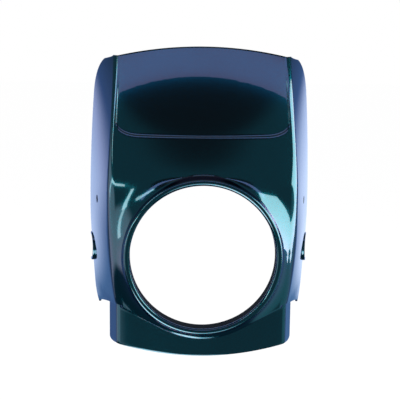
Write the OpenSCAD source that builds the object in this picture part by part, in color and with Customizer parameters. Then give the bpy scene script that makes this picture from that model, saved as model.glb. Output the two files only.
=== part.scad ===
// Headlight cowl: one moulded shell with a screen panel, a hood, a round lamp opening, two wings and a chin.
// The lamp looks along -Y, +X is the viewer's right, +Z is up; the origin is the middle of the collar's bore.

/* [Lamp opening] */
// Radius of the round opening that takes the lamp rim
bore_r = 78; // [70:0.5:84]
// Depth of the collar behind the front of the rim
collar_depth = 20; // [14:1:30]
// Radius of the rolled bead round the opening
bead_r = 3.4; // [2.5:0.1:4.5]

/* [Shell] */
// Wall thickness of the moulding
wall = 2.8; // [2.2:0.1:3.6]
// Set-back of the face behind the rim, on the middle line
face_set = 7; // [5:0.5:10]
// Half width at the front corner lines, at lamp height
front_half_w = 101; // [96:0.5:110]
// Half width at the front corner lines, at the top
top_half_w = 96.5; // [90:0.5:104]
// Half width at the front corner lines, at the foot of the wings
low_half_w = 92.5; // [88:0.5:98]
// How far the corner lines lie behind the middle line
crown = 18; // [10:0.5:24]
// Reach of the fillet along the front corner lines, beside the screen
corner_reach = 3.6; // [3:0.2:4.6]
// Growth of that reach from the screen down to lamp height
corner_more = 4; // [0:0.5:5]
// Width of the hollow fillet between the face and the rim, above and below it
flank_w = 13; // [11:0.5:17]
// Growth of the hollow fillet beside the rim, towards the hood
flank_more = 18; // [8:1:20]

/* [Screen and hood] */
// Height of the top edge on the middle line
top_z = 219; // [195:1:245]
// Drop of the top edge from the middle line to the corner lines
top_arch = 11; // [8:0.5:20]
// Height of the crease under the screen panel
crease_z = 126; // [115:1:138]
// Height at which the hood starts to lean back
brow_z = 76; // [70:1:82]
// Lean of the hood, run over rise
hood_lean = 0.42; // [0.3:0.01:0.55]
// Lean of the screen at its top, run over rise
screen_lean = 0.66; // [0.5:0.01:0.8]
// Depth of the screen panel recess at the crease
recess = 2; // [1:0.1:3]
// Rise of the rounded lower corners of the screen panel
recess_corner_r = 11; // [8:0.5:16]
// Run of the rounded lower corners of the screen panel
recess_corner_run = 24; // [12:1:32]
// Border between the screen panel and the corner lines
recess_border = 6; // [6:0.5:11]

/* [Wings] */
// Distance of the rear edge behind the rim
rear_y = 140; // [120:1:155]
// Half width over the rear edges, at lamp height
rear_half_w = 127.5; // [120:0.5:138]
// Loss of half width at the top of the rear edge
rear_top_in = 6; // [0:0.5:8]
// Loss of half width at the foot of the rear edge
rear_low_in = 5; // [0:0.5:10]
// Outward bow of the wings
wing_bow = 0.15; // [0:0.01:0.3]
// Height of the wing foot at the corner line
foot_z = -58; // [-63:1:-54]
// Fall of the wing foot from the corner line to the rear
foot_fall = 23; // [8:1:28]
// Height of the rounding at the rear foot of the wing
foot_round = 22; // [14:1:30]
// Height of the rounding at the rear top of the wing
shoulder_round = 46; // [34:1:56]
// Run of the rounding at the rear top of the wing
shoulder_run = 50; // [36:1:60]

/* [Lower lip and chin] */
// Radius of the lower lip round the opening
lip_r = 91; // [88:0.5:93]
// Set-back of the chin behind the body
chin_set = 6.5; // [5:0.5:9]
// Half width of the chin at its corner lines
chin_half_w = 92.5; // [88:0.5:93]
// Height of the lowest point of the chin
chin_z = -112; // [-122:1:-104]
// Rise of the chin's lower edge from the middle line to the corners
chin_rise = 8; // [4:0.5:14]
// Length of the chin's side returns
chin_side = 39; // [26:1:50]
// Radius of the chin's lower rear corners
chin_corner_r = 6; // [3:1:14]

/* [Fixings] */
// Radius of the side screw holes
screw_r = 4.5; // [3:0.1:5.5]
// Height of the side screw holes
screw_z = 47; // [30:1:60]
// Distance of the side screw holes behind the rim
screw_y = 90; // [80:1:105]
// Radius of the pad inside each screw hole
pad_r = 9; // [7.5:0.5:12]
// Thickness of the pad inside each screw hole
pad_t = 2.4; // [1.5:0.1:4]
// Radius of the notch in each rear edge
notch_r = 14; // [11:0.5:18]
// Height of the notches
notch_z = -18; // [-28:1:-10]
// Distance of the notch's centre ahead of the rear edge
notch_in = 2; // [0:0.5:6]
// Rise of the turned-out lip round each notch
notch_lip = 2; // [1:0.5:4]

/* [Hidden] */

$fn = 96;
// Half of the recess step, along the surface
step = 0.8;
// Middle of the collar's bore behind the front of the rim, which becomes the origin
origin_y = (bead_r + collar_depth) / 2;
// Depth of the skin's edge under the bead, behind the front of the rim
seat_y = 2.2;
// Edge of the skin under the bead, and start of the hollow fillet round it
hole_r = bore_r + bead_r;
flank_r = hole_r + 1;
// Height of the rows where the face turns into the hood
hood_z = bore_r + 16;
// Cells across the half opening, up its sides, and along the wings
across_n = 7;
up_n = 12;
wing_n = 5;
// Share of the wall that the ledge between chin and lip is thick
ledge = 0.7;

// Blends: a ramp rounded over w, a smooth step from a to b, and a quarter arc
function ramp(t, w) = (t + sqrt(t * t + w * w)) / 2;
function clamp01(t) = max(0, min(1, t));
function ease(a, b, z) = let(t = clamp01((z - a) / (b - a))) t * t * (3 - 2 * t);
function mix(a, b, t) = a + (b - a) * t;
function arc_in(t) = 1 - sqrt(max(0, 1 - t * t));
function unit(v) = norm(v) > 0 ? v / norm(v) : [0, -1, 0];

// Shape of the smooth skin by height
shoulder_z = top_z - top_arch;
heel_z = foot_z - foot_fall - 2;
function mid_y(z) = face_set + hood_lean * ramp(z - brow_z, 12)
    + (screen_lean - hood_lean) / (2 * (top_z - crease_z)) * pow(max(z - crease_z, 0), 2);
function corner_y(z) = mid_y(z) + crown;
function half_w(z) = mix(front_half_w, top_half_w, ease(60, top_z, z))
    - (front_half_w - low_half_w) * pow(clamp01((30 - z) / (30 - foot_z)), 2);
function back_w(z) = rear_half_w - rear_top_in * pow(max(z - 20, 0) / (top_z - 60), 2)
    - rear_low_in * ramp(15 - z, 16) / (15 - foot_z);
function reach(z) = corner_reach + corner_more * (1 - ease(62, 118, z));
function back_y(z) = rear_y
    - shoulder_run * arc_in(clamp01((z - shoulder_z + shoulder_round) / shoulder_round))
    - 1.5 * foot_round * arc_in(clamp01((heel_z + foot_round - z) / foot_round));

// Front of the skin: a crowned face drawn forward to the rim by a hollow fillet
function face_y(x, z) = mid_y(z) + crown * pow(x / half_w(z), 2);
function flank_at(x, z) = let(out = max(norm([x, z]), 1))
    flank_w + flank_more * pow(x / out, 2) * (0.55 + 1.6 * max(z, 0) / out);
function flank(x, z) = let(w = flank_at(x, z)) pow(clamp01((flank_r + w - norm([x, z])) / w), 2.5);
function front_y(x, z) = mix(face_y(x, z), seat_y, flank(x, z));

// Side of the skin at run w from the corner line (0) to the rear edge (1)
function side_xy(w, z) = let(
    y0 = corner_y(z),
    y = mix(y0, back_y(z), w),
    q = (y - y0) / (rear_y - y0)
) [mix(half_w(z), back_w(z), q + wing_bow * q * (1 - q)), y];
function corner_xy(t, z) = let(
    x0 = half_w(z) - reach(z),
    p0 = [x0, front_y(x0, z)],
    p1 = [half_w(z), corner_y(z)],
    p2 = side_xy(reach(z) / (back_y(z) - corner_y(z)), z)
) p0 * (1 - t) * (1 - t) + p1 * 2 * t * (1 - t) + p2 * t * t;

// Stations across one half: [part, place]; 0 panel, 1 border, 2 corner, 3 wing
near = hole_r * sin(45) / (front_half_w - recess_border);
return_w = (chin_side - reach(foot_z)) / (rear_y - corner_y(foot_z) - reach(foot_z));
half_stations = concat(
    [for (i = [0:across_n]) [0, near * i / across_n]],
    [for (i = [1:7]) [0, mix(near, 1, sin(90 * i / 7))]],
    [[1, 0], [1, 1]],
    [for (t = [0.25, 0.5, 0.75, 1]) [2, t]],
    [for (t = [0.35, 0.7, 0.9, 1]) [3, return_w * t]],
    [for (i = [1:wing_n]) [3, mix(return_w, 1, i / wing_n)]]
);
half_n = len(half_stations);
stations = concat(
    [for (i = [half_n - 1:-1:1]) [-1, half_stations[i].x, half_stations[i].y]],
    [for (i = [0:half_n - 1]) [1, half_stations[i].x, half_stations[i].y]]
);

// Place across the front at a height, and as a share of the way out from the opening
function panel_w(z) = half_w(z) - recess_border - reach(z) + corner_reach;
function front_x(s, z) = s[1] == 0 ? s[2] * panel_w(z)
    : mix(panel_w(z) + 2 * step, half_w(z) - reach(z), s[1] == 1 ? s[2] : 1);
function a_of(s) = min(1, s[1] == 0 ? s[2] / near : 1);
function out_of(s) = let(x1 = near * panel_w(hood_z), x2 = half_w(hood_z) - reach(hood_z))
    clamp01((front_x(s, hood_z) - x1) / (x2 - x1));

// Heights that bound the skin at a station: lower lip, crease and top edge
foot_pt = [low_half_w, foot_z];
foot_a = atan2(foot_pt.y, foot_pt.x) - acos(lip_r / norm(foot_pt));
tangent = lip_r * [cos(foot_a), sin(foot_a)];
function lip_z(x) = x < tangent.x ? -sqrt(lip_r * lip_r - x * x)
    : mix(tangent.y, foot_z, (x - tangent.x) / (low_half_w - tangent.x));
function crease_at(s) = let(w = panel_w(crease_z), x = s[1] == 0 ? s[2] * w : w)
    crease_z + recess_corner_r * arc_in(clamp01((x - w) / recess_corner_run + 1));
function top_at(s) = s[1] == 3 ? shoulder_z - 5 * s[2]
    : s[1] == 2 ? shoulder_z
    : top_z - top_arch * pow(front_x(s, shoulder_z) / (half_w(shoulder_z) - corner_reach), 2);

// Rows from the foot of the chin to the top edge: [band, place]
chin_n = 3;
lip_n = 3;
rim_n = 5;
rows = concat(
    [for (i = [0:chin_n]) [-1, i / chin_n]],
    [for (t = [0, 0.35, 0.65, 1]) [0, t]],
    [for (i = [1:up_n]) [1, i / up_n]],
    [for (i = [1:rim_n]) [2, i / rim_n]],
    [for (i = [1:4]) [3, i / 4]],
    [for (i = [0:10]) [4, i / 10]]
);

// Cells left out of the grid, as [low, high] pairs: the opening, and below the wings behind the chin
windows = let(m = half_n - 1, h = chin_n + lip_n + 1, c = chin_n + 1) [
    [[m - across_n, h], [m + across_n, h + up_n]],
    [[0, 0], [wing_n, c]],
    [[2 * m - wing_n, 0], [2 * m, c]]
];

// Height of a row at the corner lines, and behind them
side_z = [foot_z, foot_z + 16, 60, hood_z];
function corner_z(r) = mix(side_z[r[0]], side_z[r[0] + 1], r[1]);
function side_row_z(r, s) =
    r[0] < 3 ? let(z = corner_z(r), fall = s[1] == 3 && r[0] < 2 ? foot_fall * s[2] : 0)
        z - fall * (60 - z) / (60 - foot_z) :
    r[0] == 3 ? mix(hood_z, crease_at(s) - step, r[1]) :
    mix(crease_at(s) + step, top_at(s), r[1]);

// Front place of a row and a station, as [x, z], laid round the opening up to the hood
function rim_pt(a) = hole_r * [cos(a), sin(a)];
function lip_pt(s) = let(x = front_x(s, foot_z)) [x, lip_z(x)];
function edge_pt(r) = let(z = corner_z(r)) [half_w(z) - reach(z), z];
function hood_pt(s) = [front_x(s, hood_z), hood_z];
function blend4(p, px, py, pxy, u, v) = mix(mix(p, px, u), mix(py, pxy, u), v);
function front_xz(r, s) = let(a = a_of(s), u = out_of(s), b = 2 * r[1] - 1)
    r[0] > 2 ? let(z = side_row_z(r, s)) [front_x(s, z), z] :
    r[0] == 1 ? (a < 1 ? rim_pt(b < 0 ? -90 + 45 * a : 90 - 45 * a) * max(a, abs(b))
                       : mix(rim_pt(45 * b), edge_pt(r), u)) :
    r[0] == 2 ? (a < 1 ? mix(rim_pt(90 - 45 * a), hood_pt(s), r[1])
                       : blend4(rim_pt(45), edge_pt([2, 0]), hood_pt([1, 0, near]), edge_pt([2, 1]),
                                u, r[1])) :
    a < 1 ? mix(lip_pt(s), rim_pt(-90 + 45 * a), r[1])
          : blend4(lip_pt([1, 0, near]), lip_pt([1, 1, 1]), rim_pt(-45), edge_pt([0, 1]), u, r[1]);

// Chin: set back behind the lower lip, with short side returns that follow the wings
side_slope = (back_w(foot_z) - low_half_w) / (rear_y - corner_y(foot_z));
function chin_front(x) = [x, mid_y(foot_z) + crown * pow(x / low_half_w, 2) + chin_set];
function chin_back(y) = [chin_half_w + 1.1 * side_slope * (y - chin_front(chin_half_w).y), y];
function chin_xy(s) = let(
    t = s[2],
    x0 = chin_half_w - corner_reach,
    p1 = chin_front(chin_half_w),
    p2 = chin_back(p1.y + corner_reach)
) s[1] < 2 ? chin_front(front_x(s, foot_z) * x0 / (low_half_w - reach(foot_z))) :
    s[1] == 2 ? chin_front(x0) * (1 - t) * (1 - t) + p1 * 2 * t * (1 - t) + p2 * t * t :
    chin_back(mix(p2.y, corner_y(foot_z) + chin_side, t / return_w));
function chin_low(s) = chin_z + chin_rise * min(1, pow(chin_xy(s).x / chin_half_w, 2))
    + (s[1] == 3 ? chin_corner_r * arc_in(min(1, s[2] / return_w)) - foot_fall * s[2] : 0);
function chin_pt(r, s) = let(p = chin_xy(s), top = s[1] < 2 ? lip_pt(s).y : side_row_z([0, 0], s))
    [s[0] * p.x, p.y, mix(chin_low(s), top, r[1])];

// Smooth skin at a row and a station
function skin(r, s) =
    r[0] < 0 ? chin_pt(r, s) :
    s[1] < 2 ? let(p = front_xz(r, s)) [s[0] * p.x, front_y(p.x, p.y), p.y] :
    let(z = side_row_z(r, s), p = s[1] == 2 ? corner_xy(s[2], z)
        : side_xy(mix(reach(z) / (back_y(z) - corner_y(z)), 1, s[2]), z)) [s[0] * p.x, p.y, z];

// Recess of the screen panel, fading towards the top
function sunk(r, s) = r[0] == 4 && s[1] == 0 ? recess * (1 - 0.7 * r[1]) : 0;

function grid_normal(g, i, j) = let(
    n = len(g[0]) - 1, m = len(g) - 1,
    du = g[j][min(i + 1, n)] - g[j][max(i - 1, 0)],
    dv = g[min(j + 1, m)][i] - g[max(j - 1, 0)][i]
) unit(cross(du, dv));

// Closed solid between a grid and its inner twin, without the cells of the windows
module sheet(outer, inner) {
    n = len(outer[0]);
    m = len(outer);
    points = [for (g = [outer, inner]) for (row = g) for (p = row) p];
    function span(a, b) = let(p = points[a], q = points[b]) abs(norm([p.x, p.z]) - norm([q.x, q.z]));
    function kept(i, j) = i >= 0 && j >= 0 && i < n - 1 && j < m - 1
        && [for (w = windows) if (i >= w[0].x && j >= w[0].y && i < w[1].x && j < w[1].y) w] == [];
    function at(p) = p[1] * n + p[0];
    function in(p) = at(p) + n * m;
    function two(q, left) = span(q[1], q[3]) < span(q[0], q[2]) * (left ? 1.001 : 0.999)
        ? [[q[1], q[2], q[3]], [q[3], q[0], q[1]]] : [[q[0], q[1], q[2]], [q[2], q[3], q[0]]];
    faces = [for (j = [0:m - 2]) for (i = [0:n - 2]) if (kept(i, j)) let(
            c = [[i, j], [i, j + 1], [i + 1, j + 1], [i + 1, j]],
            near_cell = [[i - 1, j], [i, j + 1], [i + 1, j], [i, j - 1]],
            left = 2 * i < n - 1
        ) each concat(
            two([for (p = c) at(p)], left),
            two([for (k = [3:-1:0]) in(c[k])], left),
            [for (k = [0:3]) if (!kept(near_cell[k].x, near_cell[k].y))
                let(p = c[k], q = c[(k + 1) % 4]) each two([at(q), at(p), in(p), in(q)], left)])];
    polyhedron(points, faces);
}

// Inner point at the ledge between chin and lip, level with the wall behind it
function ledge_in(g, i, j) = let(d = g[j][min(i + 1, len(g[0]) - 1)] - g[j][max(i - 1, 0)])
    g[j][i] - wall * unit([d.y, -d.x, 0])
    + [0, 0, ledge * wall * (abs(i - half_n + 1) < half_n - wing_n ? 1 : 0)];

// Skin of the face, hood, screen, wings and chin
module body() {
    base = [for (r = rows) [for (s = stations) skin(r, s)]];
    sink = [for (r = rows) [for (s = stations) [0, sunk(r, s), 0]]];
    inner = [for (j = [0:len(rows) - 1]) [for (i = [0:len(stations) - 1])
        j == chin_n || j == chin_n + 1 ? ledge_in(base, i, j)
        : base[j][i] + sink[j][i] - wall * grid_normal(base, i, j)]];
    sheet(base + sink, inner);
}

// Rolled bead round the opening, with the collar behind it
module rim() {
    rotate([90, 0, 0]) rotate_extrude() {
        translate([bore_r + bead_r, -bead_r]) circle(bead_r);
        translate([bore_r, -collar_depth]) square([wall, collar_depth - bead_r]);
    }
}

// Places its children on each wing, +Z along the outward normal, at a distance behind the rim and a height
module on_wing(y, z) {
    w = (y - corner_y(z)) / (back_y(z) - corner_y(z));
    lean = side_xy(w + 0.02, z) - side_xy(w - 0.02, z);
    p = side_xy(w, z);
    for (m = [0, 1]) mirror([m, 0, 0])
        translate([p.x, p.y, z]) rotate([0, 90, -atan2(lean.x, lean.y)]) children();
}

// Turned-out lip round the notch in each rear edge
module notch_lips() {
    intersection() {
        on_wing(rear_y - notch_in, notch_z) translate([0, 0, -wall / 2])
            cylinder(r = notch_r + wall, h = wall / 2 + notch_lip);
        translate([-rear_half_w - 20, 0, foot_z - 40]) cube([2 * rear_half_w + 40, rear_y - 0.4, 120]);
    }
}

module cowl() {
    color([0.05, 0.13, 0.15]) translate([0, -origin_y, 0]) difference() {
        union() {
            body();
            rim();
            notch_lips();
            on_wing(screw_y, screw_z) translate([0, 0, -wall - pad_t])
                cylinder(r = pad_r, h = wall / 2 + pad_t);
        }
        on_wing(screw_y, screw_z) translate([0, 0, -20]) cylinder(r = screw_r, h = 30);
        on_wing(rear_y - notch_in, notch_z) translate([0, 0, -20]) cylinder(r = notch_r, h = 40);
    }
}

cowl();
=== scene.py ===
"""Headlight cowl: one moulded, painted shell, with a plain studio round it."""
import math

import bmesh
import bpy
from bpy.props import FloatProperty, FloatVectorProperty, PointerProperty
from bpy.types import Operator, Panel, PropertyGroup
from mathutils import Matrix, Quaternion, Vector


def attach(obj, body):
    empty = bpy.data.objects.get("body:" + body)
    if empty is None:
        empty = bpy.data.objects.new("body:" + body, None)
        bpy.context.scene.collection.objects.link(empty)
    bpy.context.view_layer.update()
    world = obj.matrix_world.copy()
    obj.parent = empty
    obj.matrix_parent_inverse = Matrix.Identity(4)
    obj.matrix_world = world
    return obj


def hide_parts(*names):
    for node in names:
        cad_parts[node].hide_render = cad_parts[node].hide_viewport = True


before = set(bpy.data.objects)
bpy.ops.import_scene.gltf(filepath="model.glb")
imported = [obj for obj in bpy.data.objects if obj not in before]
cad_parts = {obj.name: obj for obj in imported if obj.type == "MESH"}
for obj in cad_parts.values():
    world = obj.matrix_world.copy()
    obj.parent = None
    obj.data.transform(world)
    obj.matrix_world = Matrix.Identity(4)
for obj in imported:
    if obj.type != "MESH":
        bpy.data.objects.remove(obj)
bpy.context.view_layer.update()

bl_info = {
    "name": "Headlight cowl",
    "version": (1, 0, 0),
    "blender": (4, 5, 0),
    "location": "3D View > Sidebar > Cowl",
    "description": "Builds a moulded headlight cowl in glossy pearl paint, and the studio round it",
    "category": "Add Mesh",
}

MM = 0.001


def length(name, description, millimetres):
    """A size that the user may change, shown in the scene's length unit."""
    return FloatProperty(name=name, description=description, default=millimetres * MM, min=0.0,
                         unit="LENGTH", precision=4)


def colour(name, description, rgb, top=1.0):
    """A colour that the user may change."""
    return FloatVectorProperty(name=name, description=description, default=rgb, min=0.0, max=top,
                               size=3, subtype="COLOR")


class CowlSizes(PropertyGroup):
    """Sizes of the moulding, as the model was drawn to, but for a narrower fillet above the opening."""

    bore_r: length("Opening radius", "Radius of the round opening that takes the lamp rim", 78)
    collar_depth: length("Collar depth", "Depth of the collar behind the front of the rim", 20)
    bead_r: length("Bead radius", "Radius of the rolled bead round the opening", 3.4)
    wall: length("Wall", "Wall thickness of the moulding", 2.8)
    face_set: length("Face set-back", "Set-back of the face behind the rim, on the middle line", 7)
    front_half_w: length("Front half width", "Half width at the corner lines, at lamp height", 101)
    top_half_w: length("Top half width", "Half width at the corner lines, at the top", 96.5)
    low_half_w: length("Foot half width", "Half width at the corner lines, at the foot of the wings", 92.5)
    crown: length("Crown", "How far the corner lines lie behind the middle line", 18)
    corner_reach: length("Corner reach", "Reach of the fillet along the corner lines, beside the screen", 3.6)
    corner_more: length("Corner growth", "Growth of that reach from the screen down to lamp height", 4)
    flank_w: length("Flank width", "Width of the hollow fillet round the rim, below the opening", 13)
    flank_top: length("Flank at the top", "Width of the same fillet straight above the opening", 2.5)
    flank_more: length("Flank growth", "Added width of that fillet beside the rim, towards the hood", 18)
    top_z: length("Top height", "Height of the top edge on the middle line", 219)
    top_arch: length("Top arch", "Drop of the top edge from the middle line to the corner lines", 11)
    crease_z: length("Crease height", "Height of the crease under the screen panel", 126)
    brow_z: length("Brow height", "Height at which the hood starts to lean back", 76)
    hood_lean: FloatProperty(name="Hood lean", description="Lean of the hood, run over rise", default=0.42)
    screen_lean: FloatProperty(name="Screen lean", description="Lean of the screen at its top, run over rise",
                               default=0.66)
    recess: length("Recess", "Depth of the screen panel recess at the crease", 2)
    recess_corner_r: length("Recess corner rise", "Rise of the rounded lower corners of the panel", 11)
    recess_corner_run: length("Recess corner run", "Run of the rounded lower corners of the panel", 24)
    recess_border: length("Recess border", "Border between the screen panel and the corner lines", 6)
    rear_y: length("Rear distance", "Distance of the rear edge behind the rim", 140)
    rear_half_w: length("Rear half width", "Half width over the rear edges, at lamp height", 127.5)
    rear_top_in: length("Rear top loss", "Loss of half width at the top of the rear edge", 6)
    rear_low_in: length("Rear foot loss", "Loss of half width at the foot of the rear edge", 5)
    wing_bow: FloatProperty(name="Wing bow", description="Outward bow of the wings", default=0.15)
    foot_drop: length("Foot depth", "Depth of the wing foot at the corner line, below the lamp's axis", 58)
    foot_fall: length("Foot fall", "Fall of the wing foot from the corner line to the rear", 23)
    foot_round: length("Foot rounding", "Height of the rounding at the rear foot of the wing", 22)
    shoulder_round: length("Shoulder rounding", "Height of the rounding at the rear top of the wing", 46)
    shoulder_run: length("Shoulder run", "Run of the rounding at the rear top of the wing", 50)
    lip_r: length("Lip radius", "Radius of the lower lip round the opening", 91)
    chin_set: length("Chin set-back", "Set-back of the chin behind the body", 6.5)
    chin_half_w: length("Chin half width", "Half width of the chin at its corner lines", 92.5)
    chin_drop: length("Chin depth", "Depth of the lowest point of the chin, below the lamp's axis", 112)
    chin_rise: length("Chin rise", "Rise of the chin's lower edge from the middle to the corners", 8)
    chin_side: length("Chin side", "Length of the chin's side returns", 39)
    chin_corner_r: length("Chin corner radius", "Radius of the chin's lower rear corners", 6)
    screw_r: length("Screw hole radius", "Radius of the side screw holes", 4.5)
    screw_z: length("Screw height", "Height of the side screw holes", 47)
    screw_y: length("Screw distance", "Distance of the side screw holes behind the rim", 90)
    pad_r: length("Pad radius", "Radius of the pad inside each screw hole", 9)
    pad_t: length("Pad thickness", "Thickness of the pad inside each screw hole", 2.4)
    notch_r: length("Notch radius", "Radius of the notch in each rear edge", 14)
    notch_drop: length("Notch depth", "Depth of the notches below the lamp's axis", 18)
    notch_in: length("Notch inset", "Distance of the notch's centre ahead of the rear edge", 2)
    notch_lip: length("Notch lip", "Rise of the turned-out lip round each notch", 2)
    edge_r: length("Edge rounding", "Rounding along the free edges", 0.9)
    ledge_r: length("Ledge rounding", "Rounding of the lower lip where it turns in to the chin", 2.2)
    detail: FloatProperty(name="Detail", description="Number of cells, as a share of the full number",
                          default=1.0, min=0.3, max=1.5)


class PaintLook(PropertyGroup):
    """Colours and gloss of the paint."""

    base: colour("Paint", "Colour of the flakes seen straight on", (0.001, 0.060, 0.075))
    flip: colour("Flip", "Tint of the flakes at a grazing angle", (0.10, 0.22, 0.60))
    flake: FloatProperty(name="Flakes", description="Share of the paint that reflects as metal flakes",
                         default=1.0, min=0.0, max=1.0, subtype="FACTOR")
    flake_size: length("Flake size", "Size of the flakes in the paint", 0.35)
    peel: FloatProperty(name="Orange peel", description="Strength of the faint waviness of the lacquer",
                        default=0.05, min=0.0, max=1.0, subtype="FACTOR")
    inside: colour("Inside", "Colour of the bare inner side", (0.004, 0.006, 0.009))


class StudioSetup(PropertyGroup):
    """Floor, lamps and camera."""

    floor: colour("Floor", "Colour of the floor", (0.96, 0.96, 0.96))
    ahead: colour("Ahead", "Shade of the unlit room ahead in reflections", (0.10, 0.22, 0.28))
    above: colour("Above", "Shade of the unlit room over that in reflections", (0.065, 0.045, 0.06))
    over: colour("Overhead", "Shade of the room overhead in reflections", (0.40, 0.30, 0.35))
    left: colour("Left", "Shade of the room's left side in reflections", (1.15, 1.15, 1.35), 2.0)
    right: colour("Right", "Shade of the room's right side in reflections", (0.25, 0.60, 0.70))
    side: colour("Behind", "Shade of the room's far sides in reflections", (0.13, 0.28, 0.50))
    back: colour("Backdrop", "Shade of the backdrop in reflections", (0.80, 0.98, 1.30), 4.0)
    dark: colour("Lower left", "Shade of the unlit floor at the left in reflections", (0.03, 0.10, 0.15))
    low: colour("Below", "Shade of the lit floor in reflections", (4.00, 4.20, 4.80), 8.0)
    spot: colour("Below left", "Shade of the lit floor at the left in reflections", (10.0, 7.5, 8.0), 12.0)
    key: FloatProperty(name="Key light", description="Strength of all the lamps", default=1.0, min=0.0)
    distance: FloatProperty(name="Camera distance", default=1.2, min=0.3, unit="LENGTH",
                            description="Distance from the camera to the lamp opening")
    lens: FloatProperty(name="Lens", description="Focal length in millimetres", default=102.06, min=20.0)


# What reflections see: a direction, the two dot products with it between which the shade comes in, and the
# name of the shade. A later one covers an earlier one.
ROOM = (
    ((0, -0.35, 1), 0.80, 0.88, "above"),
    ((-0.9, -0.1, -0.35), 0.72, 0.82, "left"),
    ((0.9, 0, -0.3), 0.70, 0.85, "right"),
    ((0, 1, 0), 0.55, 0.80, "side"),
    ((-0.02, 1, 0.22), 0.82, 0.885, "back"),
    ((-0.3, 0, -1), 0.58, 0.68, "dark"),
    ((0, -0.74, -0.67), 0.955, 0.985, "low"),
    ((-0.3, -0.62, -0.72), 0.93, 0.96, "spot"),
    ((0, 0, 1), 0.90, 0.96, "over"),
)

WHITE = (1.0, 1.0, 1.0)

# Lamps: name, place, aim, size, watts, tint and turn in degrees
LAMPS = (
    ("top_box", (0, -0.715, 1.5), (0, -0.715, 0), (4.4, 0.39), 10, (0.67, 0.51, 1.0), 0),
    ("right_box", (0.95, 0, 0.285), (0, 0, 0.285), (1.19, 0.71), 16.5, WHITE, -30),
    ("left_band", (-1.08, -0.915, 0.32), (0, -0.915, 0.32), (1.04, 0.13), 2.7, WHITE, 5.5),
    ("left_tail", (-1.08, -0.125, 0.095), (0, -0.125, 0.095), (0.65, 0.08), 0.65, WHITE, 32),
    ("left_bar", (-1.05, -0.45, 1.0), (0, -0.45, 1.0), (0.16, 0.85), 2, WHITE, 0),
)

FLOOR_HALF = 6.0
FLOOR_Z = -0.35
FLOOR_GLOW = 0.85


def own_names(group):
    """Names of the values that a group of properties declares itself."""
    return [name for name in group.bl_rna.properties.keys() if name not in ("rna_type", "name")]


# Blends, as in the drawing of the part: sizes in millimetres from here on

def ramp(t, w):
    return (t + math.sqrt(t * t + w * w)) / 2


def clamp01(t):
    return max(0.0, min(1.0, t))


def ease(a, b, z):
    t = clamp01((z - a) / (b - a))
    return t * t * (3 - 2 * t)


def mix(a, b, t):
    if isinstance(a, tuple):
        return tuple(p + (q - p) * t for p, q in zip(a, b))
    return a + (b - a) * t


def arc_in(t):
    return 1 - math.sqrt(max(0.0, 1 - t * t))


def soft_min(a, b, k):
    h = max(k - abs(a - b), 0.0) / k
    return min(a, b) - h * h * k / 4


def polar(r, angle):
    return (r * math.cos(math.radians(angle)), r * math.sin(math.radians(angle)))


def bezier(a, b, c, t):
    return tuple(p * (1 - t) ** 2 + 2 * q * t * (1 - t) + r * t * t for p, q, r in zip(a, b, c))


def spread(n, both=False):
    """n shares from just above 0 to 1, closer together at 1, or at both ends."""
    if both:
        return [0.5 - 0.5 * math.cos(math.pi * i / n) for i in range(1, n + 1)]
    return [math.sin(math.pi / 2 * i / n) for i in range(1, n + 1)]


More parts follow.
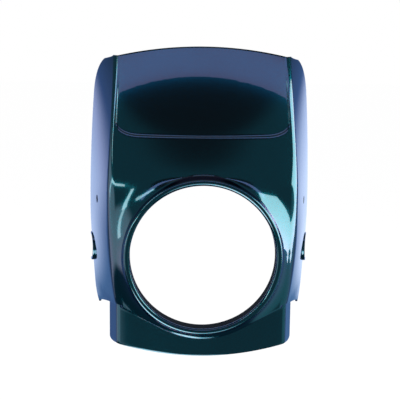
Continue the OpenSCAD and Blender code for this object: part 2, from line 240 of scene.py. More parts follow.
class CowlForm:
    """The skin of the cowl as a grid of places: a row runs from the chin to the top edge, a station from the
    middle line out to the rear edge of a wing."""

    PANEL, STEP, BORDER, CORNER, WING = range(5)
    CHIN, LEDGE, LIP, SIDE, RIM, HOOD, CREASE, SCREEN = range(8)

    # Where the shape changes with height, in millimetres above the lamp's axis, and over what length
    SIDE_TOP = 60
    NARROW_Z = 30
    REAR_HIGH_Z = 20
    REAR_LOW_Z = 15
    REAR_SOFT = 16
    REACH_LOW, REACH_HIGH = 62, 118
    BROW_SOFT = 12
    LIP_BAND = 16
    SHOULDER_FALL = 5

    # Hollow fillet: steepness, and its growth beside the rim and towards the hood
    FLANK_POWER = 2.5
    FLANK_BESIDE = 0.55
    FLANK_HOOD = 1.6

    # Bead: share of its radius up to where it falls steadily, softness and reach of its blend into the face
    BEAD_STOP = 0.97
    BEAD_SOFT = 2.4
    BEAD_REACH = 12

    # Foot's rounding along the wing, chin's splay, and the ledge's turns as shares
    FOOT_RUN = 1.5
    CHIN_SPLAY = 1.1
    TURN_IN = 0.4
    TURN_OUT = 0.45
    LEDGE_IN = 0.4
    LEDGE_OUT = 0.5

    def __init__(self, sizes):
        for name in own_names(sizes):
            scale = 1 if name in ("hood_lean", "screen_lean", "wing_bow", "detail") else 1 / MM
            setattr(self, name, getattr(sizes, name) * scale)
        self.foot_z, self.chin_z, self.notch_z = -self.foot_drop, -self.chin_drop, -self.notch_drop
        self.origin_y = (self.bead_r + self.collar_depth) / 2
        self.step = 0.8
        self.seat_y = 2.2
        self.hole_r = self.bore_r + self.bead_r
        self.flank_r = self.hole_r + 1
        self.ring_r = self.hole_r + 5.5
        self.hood_z = self.bore_r + 16
        self.shoulder_z = self.top_z - self.top_arch
        self.heel_z = self.foot_z - self.foot_fall - 2
        self.near = self.ring_r * math.sin(math.pi / 4) / (self.front_half_w - self.recess_border)
        self.run = self.rear_y - self.corner_y(self.foot_z)
        reach = self.reach(self.foot_z)
        self.return_w = (self.chin_side - reach) / (self.run - reach)
        self.side_slope = (self.back_w(self.foot_z) - self.low_half_w) / self.run
        foot = math.degrees(math.atan2(self.foot_z, self.low_half_w))
        turn = math.degrees(math.acos(self.lip_r / math.hypot(self.low_half_w, self.foot_z)))
        self.tangent = polar(self.lip_r, foot - turn)
        self.make_stations()
        self.make_rows()

    # Shape of the smooth skin by height

    def mid_y(self, z):
        lean = (self.screen_lean - self.hood_lean) / (2 * (self.top_z - self.crease_z))
        hood = self.hood_lean * ramp(z - self.brow_z, self.BROW_SOFT)
        return self.face_set + hood + lean * max(z - self.crease_z, 0) ** 2

    def corner_y(self, z):
        return self.mid_y(z) + self.crown

    def half_w(self, z):
        low = clamp01((self.NARROW_Z - z) / (self.NARROW_Z - self.foot_z))
        return (mix(self.front_half_w, self.top_half_w, ease(self.SIDE_TOP, self.top_z, z))
                - (self.front_half_w - self.low_half_w) * low ** 2)

    def back_w(self, z):
        high = max(z - self.REAR_HIGH_Z, 0) / (self.top_z - self.SIDE_TOP)
        low = ramp(self.REAR_LOW_Z - z, self.REAR_SOFT)
        return (self.rear_half_w - self.rear_top_in * high ** 2
                - self.rear_low_in * low / (self.REAR_LOW_Z - self.foot_z))

    def reach(self, z):
        """Reach of the fillet along the corner lines, wider at lamp height."""
        return self.corner_reach + self.corner_more * (1 - ease(self.REACH_LOW, self.REACH_HIGH, z))

    def back_y(self, z):
        top = clamp01((z - self.shoulder_z + self.shoulder_round) / self.shoulder_round)
        low = clamp01((self.heel_z + self.foot_round - z) / self.foot_round)
        return self.rear_y - self.shoulder_run * arc_in(top) - self.FOOT_RUN * self.foot_round * arc_in(low)

    # Face, corners and wings

    def front_y(self, x, z):
        face = self.mid_y(z) + self.crown * (x / self.half_w(z)) ** 2
        out = max(math.hypot(x, z), 1)
        flank = mix(self.flank_w, self.flank_top, max(z / out, 0) ** 2)
        flank += self.flank_more * (x / out) ** 2 * (self.FLANK_BESIDE + self.FLANK_HOOD * max(z, 0) / out)
        reach = self.flank_r + flank - out
        return mix(face, self.seat_y, clamp01(reach / flank) ** self.FLANK_POWER)

    def rimmed_y(self, x, z):
        """The face with the bead of the rim grown out of it."""
        out = math.hypot(x, z) - self.hole_r
        stop = self.BEAD_STOP * self.bead_r
        bead = self.bead_r - math.sqrt(max(self.bead_r ** 2 - min(out, stop) ** 2, 0))
        bead += max(out - stop, 0) * stop / math.sqrt(self.bead_r ** 2 - stop ** 2)
        face = self.front_y(x, z)
        return soft_min(face, bead, self.BEAD_SOFT) if out < self.BEAD_REACH else face

    def side_xy(self, w, z):
        y0 = self.corner_y(z)
        y = mix(y0, self.back_y(z), w)
        q = (y - y0) / (self.rear_y - y0)
        return (mix(self.half_w(z), self.back_w(z), q + self.wing_bow * q * (1 - q)), y)

    def corner_share(self, z):
        return self.reach(z) / (self.back_y(z) - self.corner_y(z))

    def corner_xy(self, t, z):
        x0 = self.half_w(z) - self.reach(z)
        return bezier((x0, self.front_y(x0, z)), (self.half_w(z), self.corner_y(z)),
                      self.side_xy(self.corner_share(z), z), t)

    def make_stations(self):
        d = self.detail
        self.near_n = round(22 * d)
        self.after_n = round(26 * d)
        half = [(self.PANEL, self.near * i / self.near_n) for i in range(self.near_n + 1)]
        half += [(self.PANEL, mix(self.near, 1, t)) for t in spread(round(20 * d), True)]
        half += [(self.STEP, i / 5) for i in range(1, 6)]
        half += [(self.BORDER, 0.5), (self.BORDER, 1)]
        half += [(self.CORNER, i / 10) for i in range(1, 11)]
        half += [(self.WING, self.return_w * t) for t in spread(round(12 * d))]
        half += [(self.WING, mix(self.return_w, 1, i / self.after_n)) for i in range(1, self.after_n + 1)]
        self.half_n = len(half)
        self.stations = [(-1, *s) for s in half[:0:-1]] + [(1, *s) for s in half]

    def make_rows(self):
        d = self.detail
        self.up_n = round(44 * d)
        counts = [(self.CHIN, round(12 * d)), (self.LEDGE, 10), (self.LIP, 4), (self.SIDE, self.up_n),
                  (self.RIM, round(10 * d)), (self.HOOD, round(14 * d)), (self.CREASE, 6),
                  (self.SCREEN, round(44 * d))]
        self.rows = [(self.CHIN, 0.0)]
        self.first_row = {}
        for band, n in counts:
            self.first_row[band] = len(self.rows) - 1
            self.rows += [(band, i / n) for i in range(1, n + 1)]

    def panel_w(self, z):
        return self.half_w(z) - self.recess_border - self.reach(z) + self.corner_reach

    def front_x(self, s, z):
        part, t = s[1], s[2]
        if part == self.PANEL:
            return t * self.panel_w(z)
        if part == self.STEP:
            return self.panel_w(z) + 2 * self.step * t
        return mix(self.panel_w(z) + 2 * self.step, self.half_w(z) - self.reach(z),
                   t if part == self.BORDER else 1)

    def around(self, s):
        """Share of the way from the middle line to the diagonal of the opening."""
        return min(1, s[2] / self.near) if s[1] == self.PANEL else 1

    def outward(self, s):
        """Share of the way from the opening to the corner line."""
        x1 = self.near * self.panel_w(self.hood_z)
        x2 = self.half_w(self.hood_z) - self.reach(self.hood_z)
        return clamp01((self.front_x(s, self.hood_z) - x1) / (x2 - x1))

    def lip_z(self, x):
        if x < self.tangent[0]:
            return -math.sqrt(self.lip_r ** 2 - x * x)
        return mix(self.tangent[1], self.foot_z, (x - self.tangent[0]) / (self.low_half_w - self.tangent[0]))

    def crease_at(self, s):
        w = self.panel_w(self.crease_z)
        x = s[2] * w if s[1] == self.PANEL else w
        return self.crease_z + self.recess_corner_r * arc_in(clamp01((x - w) / self.recess_corner_run + 1))

    def top_at(self, s):
        if s[1] == self.WING:
            return self.shoulder_z - self.SHOULDER_FALL * s[2]
        if s[1] == self.CORNER:
            return self.shoulder_z
        out = self.front_x(s, self.shoulder_z) / (self.half_w(self.shoulder_z) - self.corner_reach)
        return self.top_z - self.top_arch * out ** 2

    def corner_z(self, r):
        """Height of a row at the corner lines."""
        lip_top = self.foot_z + self.LIP_BAND
        low, high = {self.LIP: (self.foot_z, lip_top), self.SIDE: (lip_top, self.SIDE_TOP),
                     self.RIM: (self.SIDE_TOP, self.hood_z)}[r[0]]
        return mix(low, high, r[1])

    def side_row_z(self, r, s):
        if r[0] == self.HOOD:
            return mix(self.hood_z, self.crease_at(s) - self.step, r[1])
        if r[0] == self.CREASE:
            return self.crease_at(s) + (2 * r[1] - 1) * self.step
        if r[0] == self.SCREEN:
            return mix(self.crease_at(s) + self.step, self.top_at(s), r[1])
        z = self.corner_z(r)
        fall = self.foot_fall * s[2] if s[1] == self.WING and r[0] in (self.LIP, self.SIDE) else 0
        return z - fall * (self.SIDE_TOP - z) / (self.SIDE_TOP - self.foot_z)

    def front_xz(self, r, s):
        """Place on the face as (x, z), laid round the opening up to the hood."""
        band, t = r
        if band >= self.HOOD:
            z = self.side_row_z(r, s)
            return (self.front_x(s, z), z)
        a, u, ring = self.around(s), self.outward(s), self.ring_r

        def edge(row):
            z = self.corner_z(row)
            return (self.half_w(z) - self.reach(z), z)

        corner_s = (1, self.PANEL, self.near)
        if band == self.SIDE:
            b = 2 * t - 1
            if a < 1:
                p = polar(ring, (-90 + 45 * a) if b < 0 else (90 - 45 * a))
                return tuple(c * max(a, abs(b)) for c in p)
            return mix(polar(ring, 45 * b), edge(r), u)
        if band == self.RIM:
            hood = (self.front_x(s, self.hood_z), self.hood_z)
            if a < 1:
                return mix(polar(ring, 90 - 45 * a), hood, t)
            hood = (self.front_x(corner_s, self.hood_z), self.hood_z)
            return mix(mix(polar(ring, 45), edge((self.RIM, 0)), u), mix(hood, edge((self.RIM, 1)), u), t)
        if a < 1:
            return mix(self.lip_xz(s), polar(ring, -90 + 45 * a), t)
        return mix(mix(self.lip_xz(corner_s), self.lip_xz((1, self.BORDER, 1)), u),
                   mix(polar(ring, -45), edge((self.LIP, 1)), u), t)

    def lip_xz(self, s):
        x = self.front_x(s, self.foot_z)
        return (x, self.lip_z(x))

    def body_point(self, r, s):
        if s[1] < self.CORNER:
            x, z = self.front_xz(r, s)
            return (s[0] * x, self.rimmed_y(x, z), z)
        z = self.side_row_z(r, s)
        if s[1] == self.CORNER:
            x, y = self.corner_xy(s[2], z)
        else:
            x, y = self.side_xy(mix(self.corner_share(z), 1, s[2]), z)
        return (s[0] * x, y, z)

    # Chin, set back behind the lower lip, and the ledge between them

    def chin_front(self, x):
        return (x, self.mid_y(self.foot_z) + self.crown * (x / self.low_half_w) ** 2 + self.chin_set)

    def chin_back(self, y):
        run = y - self.chin_front(self.chin_half_w)[1]
        return (self.chin_half_w + self.CHIN_SPLAY * self.side_slope * run, y)

    def chin_xy(self, s):
        x0 = self.chin_half_w - self.corner_reach
        corner = self.chin_front(self.chin_half_w)
        back = self.chin_back(corner[1] + self.corner_reach)
        if s[1] < self.CORNER:
            full = self.low_half_w - self.reach(self.foot_z)
            return self.chin_front(self.front_x(s, self.foot_z) * x0 / full)
        if s[1] == self.CORNER:
            return bezier(self.chin_front(x0), corner, back, s[2])
        return self.chin_back(mix(back[1], self.corner_y(self.foot_z) + self.chin_side, s[2] / self.return_w))

    def foot_at(self, s):
        """Height of the lower lip at a station."""
        return self.lip_xz(s)[1] if s[1] < self.CORNER else self.side_row_z((self.LIP, 0.0), s)

    def chin_point(self, r, s):
        x, y = self.chin_xy(s)
        low = self.chin_z + self.chin_rise * min(1, (x / self.chin_half_w) ** 2)
        if s[1] == self.WING:
            low += self.chin_corner_r * arc_in(min(1, s[2] / self.return_w)) - self.foot_fall * s[2]
        return (s[0] * x, y, mix(low, self.foot_at(s), r[1]))

    def ledge_point(self, r, s):
        """From the chin's top, forward under the lip, and up on to its skin, rounded at both turns."""
        low, high = self.chin_point((self.CHIN, 1.0), s), self.body_point((self.LIP, 0.0), s)
        inner = self.TURN_IN * min(self.ledge_r, math.dist(low, high))
        outer = self.lip_turn(s)
        start = (low[0], low[1], low[2] - inner)
        in_turn = mix(low, high, inner / math.dist(low, high))
        out_turn = mix(high, low, outer / math.dist(low, high))
        if r[1] <= self.LEDGE_IN:
            return bezier(start, low, in_turn, r[1] / self.LEDGE_IN)
        return bezier(out_turn, high, self.lifted(s), (r[1] - self.LEDGE_OUT) / (1 - self.LEDGE_OUT))

    def lip_turn(self, s):
        if s[1] == self.WING and s[2] > self.return_w + 1e-9:
            return 0.0
        low, high = self.chin_point((self.CHIN, 1.0), s), self.body_point((self.LIP, 0.0), s)
        return min(self.ledge_r, self.TURN_OUT * math.dist(low, high))

    def lifted(self, s):
        """First place on the lip's skin above its rounded edge."""
        turn = self.lip_turn(s)
        if s[1] < self.CORNER:
            x, z = self.lip_xz(s)
            return (s[0] * x, self.rimmed_y(x, z + turn), z + turn)
        p = self.body_point((self.LIP, 0.0), s)
        return (p[0], p[1], p[2] + turn)

    def point(self, r, s):
        if r[0] == self.CHIN:
            x, y, z = self.chin_point(r, s)
            if r[1] == 1:
                z -= self.TURN_IN * min(self.ledge_r, 2 * self.lip_turn(s))
            return (x, y, z)
        if r[0] == self.LEDGE:
            return self.ledge_point(r, s)
        return self.body_point(r, s)

    def sunk(self, r, s):
        """Recess of the screen panel, fading towards the top."""
        if r[0] < self.CREASE or s[1] > self.STEP:
            return 0.0
        depth = self.recess * (1 - 0.7 * (r[1] if r[0] == self.SCREEN else 0))
        up = ease(0, 1, r[1]) if r[0] == self.CREASE else 1
        out = 1 - ease(0, 1, s[2]) if s[1] == self.STEP else 1
        return depth * up * out

    # Inner side and edges

    def make_grids(self):
        """Outer grid, inner grid, and which cells are kept; a row is a list of places along the stations."""
        base = [[Vector(self.point(r, s)) for s in self.stations] for r in self.rows]
        outer = [[p + Vector((0, self.sunk(r, s), 0)) for p, s in zip(line, self.stations)]
                 for line, r in zip(base, self.rows)]
        inner = [[self.inner_point(base, i, j) + outer[j][i] - base[j][i] for i in range(len(self.stations))]
                 for j in range(len(self.rows))]
        return outer, inner

    def inner_point(self, base, i, j):
        r, s, p = self.rows[j], self.stations[i], base[j][i]
        if r[0] == self.LEDGE or r == (self.CHIN, 1.0):
            t = r[1] if r[0] == self.LEDGE else 0
            low = Vector(self.chin_point((self.CHIN, 1.0), s))
            high = Vector(self.body_point((self.LIP, 0.0), s))
            i0, i1 = max(i - 1, 0), min(i + 1, len(self.stations) - 1)
            along = Vector(self.body_point((self.LIP, 0.0), self.stations[i1])) \
                - Vector(self.body_point((self.LIP, 0.0), self.stations[i0]))
            inward = Vector((-along.y, along.x, 0)).normalized()
            lift = 0.7 * self.wall if self.lip_turn(s) else 0
            if not lift:
                return p + inward * self.wall
            return low.lerp(high, t) + inward * self.wall + Vector((0, 0, lift))
        if s[1] < self.CORNER and r[0] > self.LEDGE:
            h = 0.4
            x, z = abs(p.x), p.z
            slope_x = (self.front_y(x + h, z) - self.front_y(x - h, z)) / (2 * h) * s[0]
            slope_z = (self.front_y(x, z + h) - self.front_y(x, z - h)) / (2 * h)
            skin = Vector((p.x, self.front_y(x, z), z))
            return skin - Vector((slope_x, -1, slope_z)).normalized() * self.wall
        n, m = len(self.stations) - 1, len(self.rows) - 1
        du = base[j][min(i + 1, n)] - base[j][max(i - 1, 0)]
        dv = base[min(j + 1, m)][i] - base[max(j - 1, 0)][i]
        return p - du.cross(dv).normalized() * self.wall

    def windows(self):
        """Cells left out: the opening, and below the wings behind the chin."""
        mid, low = self.half_n - 1, self.first_row[self.LIP]
        hole = self.first_row[self.SIDE]
        return [((mid - self.near_n, hole), (mid + self.near_n, hole + self.up_n)),
                ((0, 0), (self.after_n, low)),
                ((2 * mid - self.after_n, 0), (2 * mid, low))]


class ShellMesh:
    """Gathers the vertices and faces of the shell, in millimetres, as quads that share their corners."""

    def __init__(self, form):
        self.form = form
        self.verts, self.faces, self.places = [], [], {}
        self.bare = []  # for each face, whether it is bare plastic

    def vertex(self, key, point):
        if key not in self.places:
            self.places[key] = len(self.verts)
            self.verts.append(Vector(point))
        return self.places[key]

    def quad(self, a, b, c, d, bare=False):
        corners = [v for k, v in enumerate((a, b, c, d)) if v not in (a, b, c, d)[:k]]
        if len(corners) > 2:
            self.faces.append(corners)
            self.bare.append(bare)

    def lay_grids(self):
        """Outer and inner sheets, and the rounded edges between them."""
        form = self.form
        outer, inner = form.make_grids()
        windows = form.windows()
        n, m = len(form.stations), len(form.rows)

        def kept(i, j):
            return 0 <= i < n - 1 and 0 <= j < m - 1 and not any(
                lo[0] <= i < hi[0] and lo[1] <= j < hi[1] for lo, hi in windows)

        hole = windows[0]
        around = lambda i, j: hole[0][0] <= i <= hole[1][0] and hole[0][1] <= j <= hole[1][1]
        linked, edges = {}, []
        for j in range(m - 1):
            for i in range(n - 1):
                if not kept(i, j):
                    continue
                c = [(i, j), (i + 1, j), (i + 1, j + 1), (i, j + 1)]
                for k in range(4):
                    linked.setdefault(c[k], set()).add(c[(k + 1) % 4])
                    linked.setdefault(c[(k + 1) % 4], set()).add(c[k])
                beside = [(i, j - 1), (i + 1, j), (i, j + 1), (i - 1, j)]
                for k in range(4):
                    if not kept(*beside[k]) and not (around(*c[k]) and around(*c[(k + 1) % 4])):
                        edges.append((c[k], c[(k + 1) % 4]))
        rim = {p for edge in edges for p in edge}
        pull = {}
        for p in rim:
            i, j = p
            away = Vector()
            for step_i, step_j in ((1, 0), (-1, 0), (0, 1), (0, -1)):
                q, back = (i + step_i, j + step_j), (i - step_i, j - step_j)
                if q not in linked[p] and back in linked[p]:
                    away += (outer[j][i] - outer[back[1]][back[0]]).normalized()
            pull[p] = away.normalized() if away.length > 0.1 else Vector()
        for j in range(m - 1):
            for i in range(n - 1):
                if kept(i, j):
                    c = [(i, j), (i + 1, j), (i + 1, j + 1), (i, j + 1)]
                    for side, grid, order in (("out", outer, c), ("in", inner, c[::-1])):
                        ids = []
                        for p in order:
                            back = pull[p] * form.edge_r if p in rim else Vector()
                            ids.append(self.vertex((side, p), grid[p[1]][p[0]] - back))
                        self.quad(*ids, side == "in")
        shares = (0.05, 0.14, 0.28, 0.5, 0.72, 0.86, 0.95)
        for p in rim:
            for k, t in enumerate(shares):
                bulge = (1 - abs(2 * t - 1) ** 3) ** (1 / 3) - 1
                point = outer[p[1]][p[0]].lerp(inner[p[1]][p[0]], t) + pull[p] * form.edge_r * bulge
                self.vertex(("edge", p, k), point)
        last = len(shares) - 1
        for a, b in edges:
            chain = [[("out", p), *(("edge", p, k) for k in range(last + 1)), ("in", p)] for p in (a, b)]
            for k in range(last + 2):
                ids = (self.places[v] for v in (chain[1][k], chain[0][k], chain[0][k + 1], chain[1][k + 1]))
                self.quad(*ids, k > last)

    def lay_rim(self):
        """Rings from the face over the bead, down the collar and back up its outside to the inner skin."""
        form = self.form
        (i0, j0), (i1, j1) = form.windows()[0]
        loop = [(i, j0) for i in range(i0, i1)] + [(i1, j) for j in range(j0, j1)] \
            + [(i, j1) for i in range(i1, i0, -1)] + [(i0, j) for j in range(j1, j0, -1)]
        gap = form.ring_r - form.hole_r
        profile = []  # (radius, depth or None for the face, side)
        for t in (0.16, 0.3, 0.4, 0.47, 0.53, 0.59, 0.66, 0.74, 0.83, 0.92, 1.0):
            profile.append((form.ring_r - gap * t, "face"))
        for k in range(1, 11):
            a = math.radians(9 * k)
            profile.append((form.hole_r - form.bead_r * math.sin(a), form.bead_r * (1 - math.cos(a))))
        painted = len(profile)
        end, back = form.collar_depth, form.bore_r + form.wall
        soft, part = 0.8, 0.23  # rounding of the collar's end, and its middle
        profile += [(form.bore_r, form.bead_r + (end - form.bead_r) * t) for t in (0.25, 0.5, 0.75)]
        profile += [(form.bore_r, end - soft), (form.bore_r + part, end - part), (form.bore_r + soft, end)]
        profile += [(back - soft, end), (back - part, end - part), (back, end - soft)]
        profile += [(back, 15.0), (back, 11.0), (back, "rise"), (back + 1.5, "skin")]
        rings = [[self.places[("out", p)] for p in loop]]
        for r, depth in profile:
            ring = []
            for p in loop:
                v = self.verts[self.places[("out", p)]]
                a = math.atan2(v.z, v.x)
                x, z = r * math.cos(a), r * math.sin(a)
                if depth == "face":
                    y = form.rimmed_y(abs(x), z)
                elif depth == "rise":
                    y = form.seat_y + form.wall + 2.2
                elif depth == "skin":
                    y = form.seat_y + form.wall + 0.6
                else:
                    y = depth
                ring.append(len(self.verts))
                self.verts.append(Vector((x, y, z)))
            rings.append(ring)
        rings.append([self.places[("in", p)] for p in loop])
        for n, (a, b) in enumerate(zip(rings, rings[1:])):
            for k in range(len(loop)):
                q = (k + 1) % len(loop)
                self.quad(a[k], a[q], b[q], b[k], n >= painted)

    def mesh(self, name):
        shift = Vector((0, -self.form.origin_y, 0))
        mesh = bpy.data.meshes.new(name)
        mesh.from_pydata([(v + shift) * MM for v in self.verts], [], self.faces)
        mesh.polygons.foreach_set("material_index", [int(b) for b in self.bare])
        mesh.validate()
        return mesh


def wing_place(form, y, z, side):
    """Matrix that puts +Z on a wing's outward normal, at a distance behind the rim and a height."""
    w = (y - form.corner_y(z)) / (form.back_y(z) - form.corner_y(z))
    a, b, p = form.side_xy(w - 0.02, z), form.side_xy(w + 0.02, z), form.side_xy(w, z)
    lean = math.atan2(b[0] - a[0], b[1] - a[1])
    place = Matrix.Translation(Vector((p[0], p[1] - form.origin_y, z)) * MM) \
        @ Matrix.Rotation(-lean, 4, "Z") @ Matrix.Rotation(math.pi / 2, 4, "Y")
    return Matrix.Scale(-1, 4, (1, 0, 0)) @ place if side < 0 else place


def swept(profile, start, end, count):
    """Mesh data of a profile of (radius, height) in millimetres, turned about +Z by degrees."""
    bm = bmesh.new()
    rings = []
    for k in range(count + 1):
        a = math.radians(start + (end - start) * k / count)
        rings.append([bm.verts.new((r * math.cos(a) * MM, r * math.sin(a) * MM, h * MM)) for r, h in profile])
    m = len(profile)
    for k in range(count):
        a, b = rings[k], rings[k + 1]
        for q in range(m):
            bm.faces.new((a[q], a[(q + 1) % m], b[(q + 1) % m], b[q]))
    bm.faces.new(rings[0])
    bm.faces.new(rings[-1][::-1])
    bmesh.ops.recalc_face_normals(bm, faces=bm.faces)
    mesh = bpy.data.meshes.new("swept")
    bm.to_mesh(mesh)
    bm.free()
    return mesh


def rod(radius, low, high):
    """Mesh data of a closed rod about +Z, in millimetres."""
    bm = bmesh.new()
    bmesh.ops.create_cone(bm, cap_ends=True, segments=64, radius1=radius * MM, radius2=radius * MM,
                          depth=(high - low) * MM, matrix=Matrix.Translation((0, 0, (low + high) / 2 * MM)))
    mesh = bpy.data.meshes.new("rod")
    bm.to_mesh(mesh)
    bm.free()
    return mesh


def placed(mesh, place):
    """An object of a copy of the mesh, with the place applied and its faces outwards."""
    mesh = mesh.copy()
    mesh.transform(place)
    if place.determinant() < 0:
        mesh.flip_normals()
    obj = bpy.data.objects.new(mesh.name, mesh)
    bpy.context.collection.objects.link(obj)
    return obj


def combined(obj, others, operation):
    """Joins the others to the object or cuts them out of it, and removes them."""
    for other in others:
        mod = obj.modifiers.new("with", "BOOLEAN")
        mod.operation, mod.solver, mod.object = operation, "EXACT", other
    graph = bpy.context.evaluated_depsgraph_get()
    graph.update()
    mesh = bpy.data.meshes.new_from_object(obj.evaluated_get(graph))
    obj.modifiers.clear()
    old, obj.data = obj.data, mesh
    bpy.data.meshes.remove(old)
    for other in others:
        data = other.data
        bpy.data.objects.remove(other)
        bpy.data.meshes.remove(data)


def notch_band(form):
    """Turned-out lip round a notch, open at the rear edge."""
    r0, r1, top, low = form.notch_r - 1, form.notch_r + form.wall, form.notch_lip, -form.wall / 2
    soft, part = 0.9, 0.26  # rounding of the lip's outer edge, and its middle
    profile = [(r0, low), (r1, low), (r1, top - soft), (r1 - part, top - part), (r1 - soft, top), (r0, top)]
    over = math.degrees(math.asin((form.notch_in - 0.4) / (form.notch_r + form.wall / 2)))
    return swept(profile, 180 - over, 360 + over, 48)


def build_shell(form):
    """The finished shell as one object."""
    shell = ShellMesh(form)
    shell.lay_grids()
    shell.lay_rim()
    mesh = shell.mesh("cowl_shell")
    obj = bpy.data.objects.new("cowl_shell", mesh)
    bpy.context.collection.objects.link(obj)
    sides = (1, -1)
    at_screw = [wing_place(form, form.screw_y, form.screw_z, s) for s in sides]
    at_notch = [wing_place(form, form.rear_y - form.notch_in, form.notch_z, s) for s in sides]
    pad = rod(form.pad_r, -form.wall - form.pad_t, -form.wall / 2)
    combined(obj, [placed(pad, m) for m in at_screw]
             + [placed(notch_band(form), m) for m in at_notch], "UNION")
    combined(obj, [placed(rod(form.screw_r, -20, 10), m) for m in at_screw]
             + [placed(rod(form.notch_r, -20, 20), m) for m in at_notch], "DIFFERENCE")
    mesh = obj.data
    for face in mesh.polygons:
        face.use_smooth = True
    mesh.set_sharp_from_angle(angle=math.radians(38))
    return obj


# Paint and studio

def socket(node, name, value):
    node.inputs[name].default_value = value


def noise_range(tree, texture, scale, detail, low, high):
    """A texture in the object's own coordinates, stretched from 0..1 to a range."""
    place = tree.nodes.new("ShaderNodeTexCoord")
    cells = tree.nodes.new(texture)
    socket(cells, "Scale", scale)
    if detail is not None:
        socket(cells, "Detail", detail)
    tree.links.new(place.outputs["Object"], cells.inputs["Vector"])
    span = tree.nodes.new("ShaderNodeMapRange")
    socket(span, "To Min", low)
    socket(span, "To Max", high)
    tree.links.new(cells.outputs["Fac" if detail is not None else "Color"], span.inputs["Value"])
    return span.outputs["Result"]


def uneven_surface(name, rgb, fine, broad, bumps):
    """A Principled surface whose colour varies by a fine grain and a broad drift, with a bumpy normal."""
    mat = bpy.data.materials.new(name)
    mat.use_nodes = True
    tree = mat.node_tree
    surface = tree.nodes["Principled BSDF"]
    level = tree.nodes.new("ShaderNodeMath")
    level.operation = "MULTIPLY"
    tree.links.new(fine(tree), level.inputs[0])
    tree.links.new(broad(tree), level.inputs[1])
    tinted = tree.nodes.new("ShaderNodeVectorMath")
    tinted.operation = "SCALE"
    socket(tinted, 0, rgb)
    tree.links.new(level.outputs["Value"], tinted.inputs["Scale"])
    tree.links.new(tinted.outputs["Vector"], surface.inputs["Base Color"])
    scale, strength, target = bumps
    bump = tree.nodes.new("ShaderNodeBump")
    socket(bump, "Strength", strength)
    socket(bump, "Distance", 0.0002)
    tree.links.new(noise_range(tree, "ShaderNodeTexNoise", scale, 1.0, 0.0, 1.0), bump.inputs["Height"])
    tree.links.new(bump.outputs["Normal"], surface.inputs[target])
    return mat, surface


def paint_material(look):
    """Dark teal pearl paint under clear lacquer: metal flakes that turn blue at a grazing angle."""
    mat, surface = uneven_surface(
        "pearl_paint", look.base,
        lambda tree: noise_range(tree, "ShaderNodeTexVoronoi", 1 / look.flake_size, None, 0.6, 1.4),
        lambda tree: noise_range(tree, "ShaderNodeTexNoise", 9.0, 3.0, 0.8, 1.2),
        (160.0, look.peel, "Coat Normal"))
    for name, value in (("Metallic", look.flake), ("Roughness", 0.15), ("Specular Tint", (*look.flip, 1.0)),
                        ("Coat Weight", 1.0), ("Coat Roughness", 0.02), ("Coat IOR", 1.5)):
        socket(surface, name, value)
    return mat


def plastic_material(look):
    """Bare, finely grained dark plastic."""
    mat, surface = uneven_surface(
        "bare_plastic", look.inside,
        lambda tree: noise_range(tree, "ShaderNodeTexNoise", 900.0, 2.0, 0.75, 1.25),
        lambda tree: noise_range(tree, "ShaderNodeTexNoise", 14.0, 2.0, 0.85, 1.15),
        (900.0, 0.35, "Normal"))
    for name, value in (("Roughness", 0.7), ("Specular IOR Level", 0.03)):
        socket(surface, name, value)
    return mat


def lamp(name, place, aim, size, power, tint, turn):
    """A soft box: a rectangular area lamp at a place, facing a point and turned in its own plane."""
    data = bpy.data.lights.new(name, "AREA")
    data.shape, data.size, data.size_y = "RECTANGLE", size[0], size[1]
    data.energy, data.color = power, tint
    obj = bpy.data.objects.new(name, data)
    bpy.context.collection.objects.link(obj)
    obj.location = place
    obj.rotation_mode = "QUATERNION"
    obj.rotation_quaternion = (Vector(aim) - Vector(place)).to_track_quat("-Z", "Y") @ Quaternion(
        (0, 0, 1), math.radians(turn))
    obj.visible_camera = False
    return obj


def studio_world(setup):
    """A plain white room, which reflections see as ROOM has it: unlit ahead, bright behind and below."""
    world = bpy.data.worlds.new("studio")
    bpy.context.scene.world = world
    world.use_nodes = True
    tree = world.node_tree
    tree.nodes.clear()
    link = tree.links.new
    out, white, seen = (tree.nodes.new(k) for k in (
        "ShaderNodeOutputWorld", "ShaderNodeBackground", "ShaderNodeBackground"))
    choose, ray = tree.nodes.new("ShaderNodeMixShader"), tree.nodes.new("ShaderNodeLightPath")
    place = tree.nodes.new("ShaderNodeTexCoord")
    socket(white, "Color", (1, 1, 1, 1))
    shade = None
    for axis, start, end, name in ROOM:
        along, part = tree.nodes.new("ShaderNodeVectorMath"), tree.nodes.new("ShaderNodeMapRange")
        along.operation = "DOT_PRODUCT"
        socket(along, 1, axis)
        link(place.outputs["Generated"], along.inputs[0])
        part.interpolation_type = "SMOOTHSTEP"
        socket(part, "From Min", start)
        socket(part, "From Max", end)
        link(along.outputs["Value"], part.inputs["Value"])
        blend = tree.nodes.new("ShaderNodeMix")
        blend.data_type = "RGBA"
        link(part.outputs["Result"], blend.inputs[0])
        if shade is None:
            socket(blend, 6, (*setup.ahead, 1))
        else:
            link(shade, blend.inputs[6])
        socket(blend, 7, (*getattr(setup, name), 1))
        shade = blend.outputs[2]
    link(shade, seen.inputs["Color"])
    link(ray.outputs["Is Glossy Ray"], choose.inputs[0])
    link(white.outputs[0], choose.inputs[1])
    link(seen.outputs[0], choose.inputs[2])
    link(choose.outputs[0], out.inputs["Surface"])


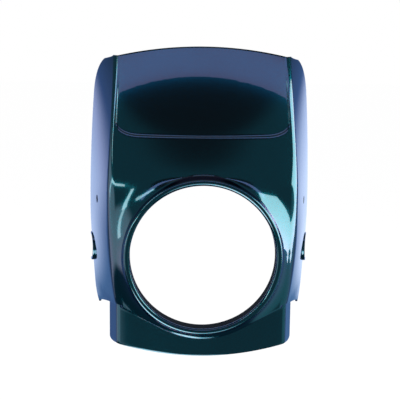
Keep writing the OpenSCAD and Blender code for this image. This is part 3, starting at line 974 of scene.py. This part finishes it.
def floor_material(shade):
    """White to the camera, but for a soft shadow."""
    mat = bpy.data.materials.new("floor")
    mat.use_nodes = True
    tree = mat.node_tree
    surface, out = tree.nodes["Principled BSDF"], tree.nodes["Material Output"]
    socket(surface, "Base Color", (*shade, 1))
    socket(surface, "Roughness", 0.9)
    socket(surface, "Specular IOR Level", 0.0)
    white, part, blend, ray, either, seen = (tree.nodes.new("ShaderNode" + k) for k in (
        "Emission", "Math", "MixShader", "LightPath", "Math", "Math"))
    either.operation = seen.operation = "MAXIMUM"
    part.operation = "MULTIPLY"
    socket(part, 1, FLOOR_GLOW)
    link = tree.links.new
    link(ray.outputs["Is Camera Ray"], either.inputs[0])
    link(ray.outputs["Is Glossy Ray"], either.inputs[1])
    link(either.outputs[0], seen.inputs[0])
    link(ray.outputs["Is Transmission Ray"], seen.inputs[1])
    link(seen.outputs[0], part.inputs[0])
    link(part.outputs[0], blend.inputs[0])
    link(surface.outputs[0], blend.inputs[1])
    link(white.outputs[0], blend.inputs[2])
    link(blend.outputs[0], out.inputs["Surface"])
    return mat


def place_camera(setup):
    """The photograph's view: slightly from the left and above, turned a little."""
    turn, rise, roll = math.radians(-2.1), math.radians(11.0), math.radians(0.7)
    back = Vector((math.sin(turn) * math.cos(rise), -math.cos(turn) * math.cos(rise), math.sin(rise)))
    right = Vector((math.cos(turn), math.sin(turn), 0))
    up = back.cross(right)
    rim_front = Vector((0, -0.0117, 0))
    shift_left, shift_up = 0.00415, 0.06238
    at = rim_front + back * setup.distance - right * shift_left + up * shift_up
    x_axis = right * math.cos(roll) + up * math.sin(roll)
    y_axis = up * math.cos(roll) - right * math.sin(roll)
    data = bpy.data.cameras.new("camera")
    data.lens, data.sensor_width = setup.lens, 36.0
    data.clip_start, data.clip_end = 0.05, 50.0
    cam = bpy.data.objects.new("camera", data)
    bpy.context.collection.objects.link(cam)
    cam.matrix_world = Matrix.Translation(at) @ Matrix((x_axis, y_axis, back)).transposed().to_4x4()
    bpy.context.scene.camera = cam


# Operators, panel and registration

class COWL_OT_shell(Operator):
    """Builds the moulded shell in its paint, in place of the drawn solid."""

    bl_idname = "cowl.shell"
    bl_label = "Build shell"

    def execute(self, context):
        obj = build_shell(CowlForm(context.scene.cowl_sizes))
        for material in (paint_material, plastic_material):
            obj.data.materials.append(material(context.scene.cowl_paint))
        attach(obj, "root")
        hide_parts("cowl")
        return {"FINISHED"}


class COWL_OT_studio(Operator):
    """Builds the room, the floor, the lamps and the camera."""

    bl_idname = "cowl.studio"
    bl_label = "Build studio"

    def execute(self, context):
        setup = context.scene.cowl_studio
        context.scene.view_settings.view_transform = "Standard"
        studio_world(setup)
        bm = bmesh.new()
        bmesh.ops.create_grid(bm, x_segments=1, y_segments=1, size=FLOOR_HALF)
        mesh = bpy.data.meshes.new("floor")
        bm.to_mesh(mesh)
        bm.free()
        mesh.transform(Matrix.Translation((0, 0, FLOOR_Z)))
        mesh.materials.append(floor_material(setup.floor))
        floor = bpy.data.objects.new("floor", mesh)
        bpy.context.collection.objects.link(floor)
        floor.visible_glossy = False
        for name, place, aim, size, power, tint, turn in LAMPS:
            lamp(name, place, aim, size, power * setup.key, tint, turn)
        place_camera(setup)
        return {"FINISHED"}


class COWL_PT_panel(Panel):
    """Sizes, paint and studio in the sidebar of the 3D view."""

    bl_idname = "COWL_PT_panel"
    bl_label = "Headlight cowl"
    bl_space_type = "VIEW_3D"
    bl_region_type = "UI"
    bl_category = "Cowl"

    def draw(self, context):
        scene = context.scene
        for title, group, operator in (("Shell", scene.cowl_sizes, "cowl.shell"),
                                       ("Paint", scene.cowl_paint, None),
                                       ("Studio", scene.cowl_studio, "cowl.studio")):
            box = self.layout.box()
            box.label(text=title)
            for name in own_names(group):
                box.prop(group, name)
            if operator:
                box.operator(operator)


CLASSES = (CowlSizes, PaintLook, StudioSetup, COWL_OT_shell, COWL_OT_studio, COWL_PT_panel)


def register():
    for cls in CLASSES:
        bpy.utils.register_class(cls)
    bpy.types.Scene.cowl_sizes = PointerProperty(type=CowlSizes)
    bpy.types.Scene.cowl_paint = PointerProperty(type=PaintLook)
    bpy.types.Scene.cowl_studio = PointerProperty(type=StudioSetup)


def unregister():
    for name in ("cowl_studio", "cowl_paint", "cowl_sizes"):
        delattr(bpy.types.Scene, name)
    for cls in reversed(CLASSES):
        bpy.utils.unregister_class(cls)


def main():
    register()
    bpy.ops.cowl.studio()
    bpy.ops.cowl.shell()


if __name__ == "__main__":
    main()
